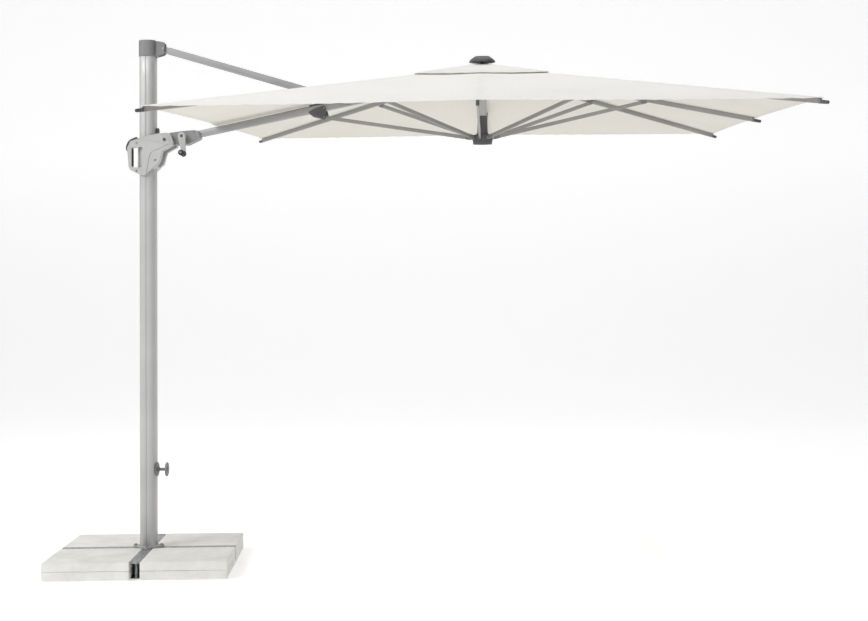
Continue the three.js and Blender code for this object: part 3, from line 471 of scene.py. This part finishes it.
def build_sector(i, a_deg, flap):
    """one gore of cloth, from mid-panel line to mid-panel line, centred on its rib; neighbouring gores share the same edge"""
    mid = a_deg % 90 == 0
    inner, outer = (0.022, FLAP) if flap else (VENT, HEM)
    band = 0.020 if flap else 0.026
    row_at = band - 0.003
    rows = []
    nr = 12 if flap else 34
    for j in range(nr + 1):
        rows.append(inner + (outer - inner) * j / nr)
    extra = [outer - band, outer - band - 0.0012, inner + 0.02, inner + 0.0212, outer - band * 0.5, outer - 0.0015]
    if not flap and a_deg == 180:
        extra += [XC - 1.120, XC - 0.900, XC - 1.120 - 0.012, XC - 0.900 + 0.012]
    rows = sorted(set([r for r in rows if all(abs(r - e) > 0.006 for e in extra)] + extra + [inner, outer]))
    half = 0.0345
    ws = []
    nc = 16 if flap else 22
    hole = not flap and a_deg == 180
    for s in (-1, 1):
        for c in range(nc + 1):
            ws.append((s, c / nc))
    # columns: fixed offsets close to the rib (felled seam), then fanned out
    fixed = [0.0, 0.0055, 0.0067, 0.018, half, half + 0.010] if not flap else [0.0, 0.0040, 0.0050]
    seamed = not mid
    nfan = 20 if not flap else 10
    cols = [("t", f) for f in fixed] + [("f", q / nfan) for q in range(1, nfan + 1)]
    allcols = [(-1,) + c for c in reversed(cols[1:])] + [(1,) + c for c in cols]
    grid_t, grid_b, uvw, st = [], [], [], []
    a = math.radians(a_deg)
    for m in rows:
        rt_, rb_, ru, rs = [], [], [], []
        edge_w = SIDE * m if mid else (1 - SIDE) * m           # width of the gore in the mid rib's t measure
        f0 = min(fixed[-1], edge_w * 0.55)
        for s, kind, q in allcols:
            off = min(q, f0 * (q / fixed[-1] if fixed[-1] else 0)) if kind == "t" else f0 + (edge_w - f0) * q
            if mid:
                v = off / m
                px, py, z = skin_point(m, v, flap)
                loc = (px, s * py)
                ang = a
                x = loc[0] * math.cos(ang) - loc[1] * math.sin(ang); y = loc[0] * math.sin(ang) + loc[1] * math.cos(ang)
            else:
                v = 1 - off / m
                px, py, z = skin_point(m, v, flap)
                ang = a + math.radians(45) if s > 0 else a - math.radians(45)
                loc = (px, -py if s > 0 else py)
                x = loc[0] * math.cos(ang) - loc[1] * math.sin(ang); y = loc[0] * math.sin(ang) + loc[1] * math.cos(ang)
            t = 0.0011
            if outer - m < band: t += 0.0016                    # turned hem
            if not flap and m - inner < 0.02: t += 0.0014       # bound vent edge
            if seamed and off < 0.006 and kind == "t": t += 0.0009         # felled seam over the corner rib
            if hole: z -= 0.007 * (m - VENT) / (HEM - VENT) * math.exp(-((s * off + 0.045) / 0.11) ** 2)   # lies down onto the left rib
            if not flap and m > outer - 0.11 and off < 0.034: t += 0.0008   # pocket patch on the tip
            if hole and (XC - 1.135 < m < XC - 0.885) and off < half + 0.011: t += 0.0010      # binding round the strut slit
            rt_.append(LW(x, y, z + t / 2)); rb_.append(LW(x, y, z - t / 2))
            along = m; across = s * (off if mid else off * 1.0)
            ru.append((along, across))
            rs.append((off, m))
        grid_t.append(rt_); grid_b.append(rb_); uvw.append(ru); st.append(rs)
    R, C = len(rows), len(allcols)
    verts = [p for r in grid_t for p in r] + [p for r in grid_b for p in r]
    faces, which = [], []

    def inside(j, c):
        if not hole: return False
        mm = (rows[j] + rows[j + 1]) / 2
        o1 = st[j][c][0] * allcols[c][0]; o2 = st[j][c + 1][0] * allcols[c + 1][0]
        return (XC - 1.120 < mm < XC - 0.900) and abs((o1 + o2) / 2) < half
    T = lambda j, c: j * C + c
    Bo = lambda j, c: R * C + j * C + c
    for j in range(R - 1):
        for c in range(C - 1):
            if inside(j, c): continue
            faces.append((T(j, c), T(j + 1, c), T(j + 1, c + 1), T(j, c + 1))); which.append(0)
            faces.append((Bo(j, c), Bo(j, c + 1), Bo(j + 1, c + 1), Bo(j + 1, c))); which.append(1)
    for c in range(C - 1):
        faces.append((T(R - 1, c), Bo(R - 1, c), Bo(R - 1, c + 1), T(R - 1, c + 1))); which.append(0)
        faces.append((T(0, c), T(0, c + 1), Bo(0, c + 1), Bo(0, c))); which.append(0)
    for j in range(R - 1):
        faces.append((T(j, 0), Bo(j, 0), Bo(j + 1, 0), T(j + 1, 0))); which.append(2)
        faces.append((T(j, C - 1), T(j + 1, C - 1), Bo(j + 1, C - 1), Bo(j, C - 1))); which.append(2)
    if hole:
        for j in range(R - 1):
            for c in range(C - 1):
                if not inside(j, c): continue
                for dj, dc, e in ((-1, 0, (T(j, c), T(j, c + 1))), (1, 0, (T(j + 1, c + 1), T(j + 1, c))), (0, -1, (T(j + 1, c), T(j, c))), (0, 1, (T(j, c + 1), T(j + 1, c + 1)))):
                    jj, cc = j + dj, c + dc
                    if not inside(jj, cc):
                        faces.append((e[0], e[1], e[1] + R * C, e[0] + R * C)); which.append(0)
    name = ("vent_gore_%d" if flap else "canopy_gore_%d") % i
    me = bpy.data.meshes.new(name); me.from_pydata([tuple(v) for v in verts], [], faces)
    for key in ("cloth", "cloth_shaded_underside", "slot_edge"):
        me.materials.append(MAT[key])
    me.polygons.foreach_set("material_index", which)
    o = bpy.data.objects.new(name, me); scene.collection.objects.link(o)
    bm = bmesh.new(); bm.from_mesh(me); bmesh.ops.recalc_face_normals(bm, faces=bm.faces)
    for ed in bm.edges:
        if ed.is_manifold and ed.calc_face_angle(0) > math.radians(32):
            ed.smooth = False
    # drop the points inside the slit that no face uses
    loose = [v for v in bm.verts if not v.link_faces]
    keep_index = [v.index for v in bm.verts if v.link_faces]
    bmesh.ops.delete(bm, geom=loose, context="VERTS")
    bm.to_mesh(me); bm.free()
    me.polygons.foreach_set("use_smooth", [True] * len(me.polygons))
    U = me.uv_layers.new(name="weave"); S = me.uv_layers.new(name="stitch"); Hm = me.uv_layers.new(name="hem")
    flatuv = [q for r in uvw for q in r] * 2; flatst = [q for r in st for q in r] * 2
    for loop in me.loops:
        vi = keep_index[loop.vertex_index]
        U.data[loop.index].uv = flatuv[vi]
        off, m = flatst[vi]
        S.data[loop.index].uv = (off - 0.0105 if seamed else 1.0, m)
        Hm.data[loop.index].uv = (outer - m - row_at, off)
    me.update()
    area = sum(p.area for p in me.polygons) / 2
    return o, area


dirs = [0, 45, 90, 135, 180, 225, 270, 315]
first = {False: None, True: None}
for flap in (False, True):
    for i, a in enumerate(dirs, 1):
        o, area = build_sector(i, a, flap)
        ar = math.radians(a)
        e = LV((-math.sin(ar), math.cos(ar), 0))
        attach(o, f"rib_body_{i}")
        tuple(e)
        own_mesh(o)
        big, small = (FLAP, 0.022) if flap else (HEM, VENT)
        # the flat cut, from the design sizes alone: a panel lying on the ribs' slope, with no hem curve or slack
        fall = 0.232 if flap else KS
        cut = (SIDE if a % 90 == 0 else 1 - SIDE) * (big * big - small * small) * math.hypot(1, fall)
        if a == 180 and not flap:
            cut -= 0.220 * 0.069      # the slit for the arm
        if first[flap] is None:
            first[flap] = o
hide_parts("canopy"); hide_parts("vent_flap")

# ------------------------------------------------------------------ rib tip caps and rivets
for i, a in enumerate(dirs, 1):
    lo_, hi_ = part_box(f"rib_{i}")
    j = JOINT[f"rib_{i}_fold"]
    ar = math.radians(a); mid = a % 90 == 0
    rp = 0.092 if a == 180 else R0; zp = 2.682 if a == 180 else RIBZ
    rtip, zt = (1.5, 2.408) if mid else (1.5 * math.sqrt(2), 2.398)
    if a == 180: zt = 2.394
    ty = -0.045 if a == 180 else 0.0
    d = LV((math.cos(ar), math.sin(ar), 0)); e = LV((-math.sin(ar), math.cos(ar), 0))
    base = LW(rp * math.cos(ar) - ty * math.sin(ar), rp * math.sin(ar) + ty * math.cos(ar), zp)
    tip = LW(rtip * math.cos(ar) - ty * math.sin(ar), rtip * math.sin(ar) + ty * math.cos(ar), zt)
    f = (tip - base).normalized(); n = e.cross(f) * -1
    if n.z < 0: n = -n
    L = (tip - base).length
    # pale collar, then a dark moulded nose over the slim tip
    low = n * -0.003
    for tag, prof, wx, wz, mid_off, key in (
            ("collar", [(-0.0445, 0.97), (-0.0440, 1.0), (-0.0345, 1.0), (-0.0335, 0.94)], 0.0077, 0.0125, n * 0.0, "mid_grey"),
            ("nose", [(-0.0335, 0.9), (-0.0330, 1.0), (-0.0150, 1.0), (-0.0145, 0.95), (-0.002, 0.95), (0.0025, 0.86), (0.0060, 0.62), (0.0078, 0.34), (0.0082, 0.05)], 0.0079, 0.0086, low, "moulded_dark")):
        rings = []
        for t_, sc in prof:
            ring = []
            for q in range(28):
                t = 2 * math.pi * q / 28
                cx_, cz_ = math.cos(t), math.sin(t)
                p = 0.42
                ring.append(tip + mid_off + f * t_ + e * (wx * math.copysign(abs(cx_) ** p, cx_) * sc) + n * (wz * math.copysign(abs(cz_) ** p, cz_) * sc))
            rings.append(ring)
        o = ring_solid(f"rib_{tag}_{i}", rings, MAT[key])
        es = o.modifiers.new("edge", "EDGE_SPLIT"); es.split_angle = math.radians(55)
        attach(o, f"rib_body_{i}")
    for s in (-1, 1):
        button_screw(f"rib_rivet_{i}_{'a' if s < 0 else 'b'}", base + f * 0.034 + e * s * 0.007, e * s, f"rib_body_{i}", 0.0032, 0.0014)
    # rivets of the stay's outer pivot and its collar
    st = JOINT[f"stay_{i}_fold"]; so = Vector(st["pos_m"])
    ra, za = {True: (0.905, None), False: (0.903, None)}[mid]
    if a == 180: ra, za = 0.914, 2.461
    if za is None:
        za = RIBZ + (zt - zp) / (rtip - rp) * (ra - rp) - 0.002
    off = -0.0265 if a == 180 else -0.014
    end = LW(ra * math.cos(ar) - off * math.sin(ar), ra * math.sin(ar) + off * math.cos(ar), za)
    for s in (-1, 1):
        button_screw(f"stay_rivet_{i}_{'a' if s < 0 else 'b'}", end + e * s * 0.006, e * s, f"stay_body_{i}", 0.0052, 0.0009 if s > 0 else 0.0018)
    # moulded shoe sleeves at both ends of the stay
    sdir = (end - so).normalized(); sn = e.cross(sdir)
    for tag, p0, sgn in (("in", so, 1), ("out", end, -1)):
        rings = []
        for s, sc in ((0.018, 0.9), (0.0185, 1.0), (0.046, 1.0), (0.0465, 0.92)):
            ring = []
            for q in range(24):
                t = 2 * math.pi * q / 24; cx_, cz_ = math.cos(t), math.sin(t)
                ring.append(p0 + sdir * sgn * s + e * (0.0067 * math.copysign(abs(cx_) ** 0.4, cx_) * sc) + sn * (0.0108 * math.copysign(abs(cz_) ** 0.4, cz_) * sc))
            rings.append(ring)
        o = ring_solid(f"stay_shoe_{i}_{tag}", rings, MAT["mid_grey"])
        es = o.modifiers.new("edge", "EDGE_SPLIT"); es.split_angle = math.radians(55)
        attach(o, f"stay_body_{i}")

# ------------------------------------------------------------------ fastenings and small parts on slider, arm and head
for s in (-1, 1):
    tag = "near" if s < 0 else "far"
    ax = (0, s, 0)
    for q, (x, z) in enumerate(((-0.049, 2.312), (-0.050, 2.160), (0.053, 2.219)) if s < 0 else ((-0.038, 2.318), (-0.030, 2.160), (0.053, 2.219))):
        button_screw(f"slider_screw_{tag}_{q}", (x, s * 0.062, z), ax, "slider", 0.0055, 0.0026)
    button_screw(f"nose_screw_{tag}", (0.0905, s * 0.0249, 2.8165), ax, "mast", 0.0042, 0.0020)
    button_screw(f"housing_screw_{tag}_1", (0.262, s * 0.030, 2.372), ax, "arm", 0.0045, 0.0022)
    button_screw(f"housing_screw_{tag}_2", (0.270, s * 0.030, 2.348), ax, "arm", 0.0045, 0.0022)
    button_screw(f"pivot_cap_{tag}", (0.105, s * 0.0684, 2.331), ax, "slider", 0.0075, 0.0022, material=MAT["moulded_dark"])
    # moulded cover plate in the shell's recess
    pts = [(0.147, 2.3005), (0.147, 2.3095), (0.041, 2.2655), (0.0265, 2.2505), (0.0052, 2.1455), (0.0488, 2.1835), (0.0742, 2.2075), (0.0932, 2.2702)]
    rings = []
    for y, sh in ((0.0597, 1.0), (0.0606, 1.0), (0.0610, 0.985)):
        cx_ = sum(p[0] for p in pts) / len(pts); cz_ = sum(p[1] for p in pts) / len(pts)
        rings.append([(cx_ + (x - cx_) * sh, s * y, cz_ + (z - cz_) * sh) for x, z in pts])
    o = ring_solid(f"slider_cover_{tag}", rings, MAT["panel_grey"], True, False)
    bm = bmesh.new(); bm.from_mesh(o.data); bmesh.ops.recalc_face_normals(bm, faces=bm.faces); bm.to_mesh(o.data); bm.free()
    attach(o, "slider")

button_screw("crank_screw", (0.203, -0.0778, 2.348), (0, -1, 0), "crank", 0.0085, 0.0030, material=MAT["moulded_dark"])
button_screw("grip_screw", (0.216, -0.1520, 2.248), (0, -1, 0), "crank", 0.0062, 0.0020)
button_screw("knob_screw", (0.1068, 0, 0.523), (1, 0, 0), "knob", 0.007, 0.0022)
# ------------------------------------------------------------------ vent cap with a scalloped skirt
rings = []
for r_, z_, sc in ((0.0121, 2.7105, 0), (0.0121, 2.7375, 0), (0.050, 2.7383, 0), (0.0655, 2.7384, 0.5), (0.0702, 2.7392, 1.0), (0.0716, 2.7412, 1.0), (0.0712, 2.7445, 1.0), (0.0690, 2.7490, 0.8), (0.0640, 2.7545, 0.55),
                   (0.0580, 2.7592, 0.35), (0.0520, 2.7636, 0.2), (0.0465, 2.7672, 0.1), (0.0430, 2.7692, 0), (0.0422, 2.7709, 0), (0.0405, 2.7718, 0), (0.020, 2.7722, 0), (0.0002, 2.7722, 0)):
    ring = []
    for q in range(96):
        t = 2 * math.pi * q / 96
        wave = 0.5 + 0.5 * math.cos(10 * t)
        ring.append(LW((r_ * (1 - 0.030 * sc * (1 - wave))) * math.cos(t), (r_ * (1 - 0.030 * sc * (1 - wave))) * math.sin(t), z_ + 0.0035 * sc * (1 - wave) ** 2))
    rings.append(ring)
o = ring_solid("vent_cap_scalloped", rings, MAT["moulded_dark"])
es = o.modifiers.new("edge", "EDGE_SPLIT"); es.split_angle = math.radians(48)
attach(o, "crown"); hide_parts("vent_cap")
for q in range(2):
    button_screw(f"keeper_rivet_{q}", (0.979, -0.0279, 2.449 + 0.051 * q), (0, -1, 0), "arm", 0.0046, 0.0016)
